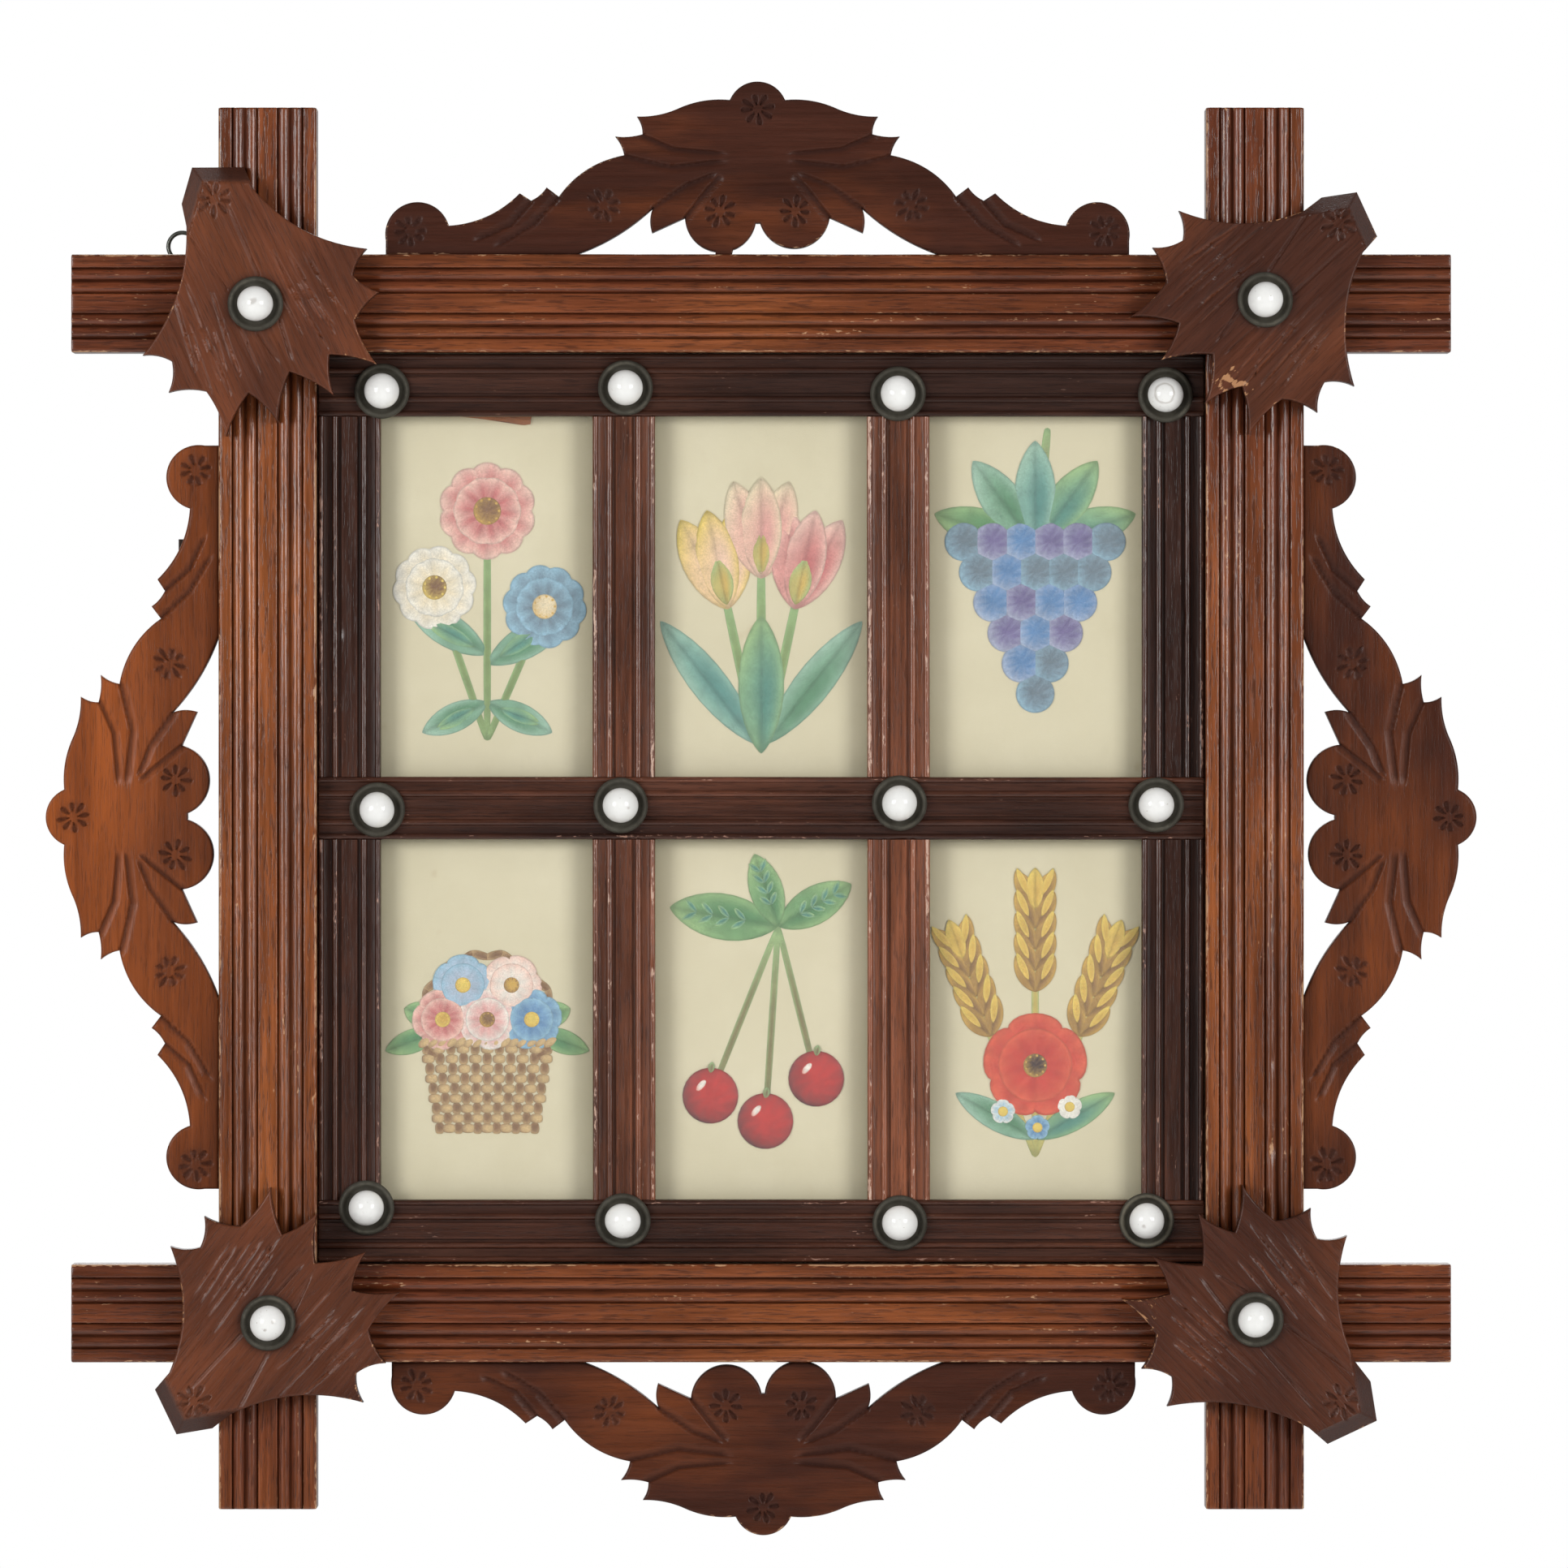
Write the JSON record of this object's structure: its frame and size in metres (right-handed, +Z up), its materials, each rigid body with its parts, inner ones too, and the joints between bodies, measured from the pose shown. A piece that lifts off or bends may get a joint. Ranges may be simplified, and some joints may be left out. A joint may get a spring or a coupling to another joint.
{
  "type": "wall picture frame",
  "caption": "Criss-cross wooden wall frame of reeded bars with carved leaf corners, fretted side crests, porcelain-headed tacks and a glazed lattice of small picture windows.",
  "frame": {"origin": "middle of the top rail's back face, on the plane that lies against the wall", "axes": "+Z up, +X to the viewer's right, the front faces -Y and the back faces +Y"},
  "size_m": [0.3882, 0.0385, 0.3944],
  "materials": {
    "bar_wood": "stained red-brown hardwood, shellac rubbed to a low sheen",
    "lattice_wood": "dark stained hardwood, low sheen",
    "leaf_wood": "dark stained hardwood, chip carved, low sheen",
    "crest_wood": "dark stained hardwood, chip carved, low sheen",
    "cleat_wood": "rough sawn, dark with age",
    "porcelain": "white glaze with small brown specks",
    "bronze": "dark bronze patina",
    "steel": "dull drawn steel",
    "glass": "clear drawn glass",
    "card": "cream card, matt",
    "board_wood": "thin unfinished board",
    "strip_wood": "bare split wood",
    "scrap_paper": "embossed printed paper, satin",
    "brass": "tarnished sheet brass",
    "ring_steel": "dull grey wire"
  },
  "bodies": {
    "frame": {"left_stile": "bar_wood", "right_stile": "bar_wood", "top_rail": "bar_wood", "bottom_rail": "bar_wood", "lattice_upright_1": "lattice_wood", "lattice_upright_2": "lattice_wood", "lattice_upright_3": "lattice_wood", "lattice_upright_4": "lattice_wood", "lattice_bar_top": "lattice_wood", "lattice_bar_middle": "lattice_wood", "lattice_bar_bottom": "lattice_wood", "leaf_top_left": "leaf_wood", "leaf_top_right": "leaf_wood", "leaf_bottom_left": "leaf_wood", "leaf_bottom_right": "leaf_wood", "crest_top": "crest_wood", "crest_bottom": "crest_wood", "crest_left": "crest_wood", "crest_right": "crest_wood", "crest_cleats": "cleat_wood", "corner_heads": "porcelain", "lattice_heads": "porcelain", "corner_cups": "bronze", "lattice_cups": "bronze", "corner_tacks": "steel", "lattice_tacks": "steel", "glass_sheet": "glass", "mount_card": "card", "backing_board": "board_wood", "backing_brads": "steel", "slipped_strip": "strip_wood", "scrap_daisies": "scrap_paper", "scrap_tulips": "scrap_paper", "scrap_grapes": "scrap_paper", "scrap_basket": "scrap_paper", "scrap_cherries": "scrap_paper", "scrap_wheat": "scrap_paper", "left_strap": "brass", "right_strap": "brass", "strap_screws": "steel"},
    "left_ring": {"left_ring": "ring_steel"},
    "right_ring": {"right_ring": "ring_steel"}
  },
  "joints": [
    {"name": "left_ring_swing", "type": "hinge", "parent": "frame", "child": "left_ring", "pos_m": [-0.1575, 0.00159, 0.0123], "axis": [-1, 0, 0], "range_deg": [0, 175]},
    {"name": "right_ring_swing", "type": "hinge", "parent": "frame", "child": "right_ring", "pos_m": [0.1575, 0.00159, 0.0123], "axis": [-1, 0, 0], "range_deg": [0, 175]}
  ]
}
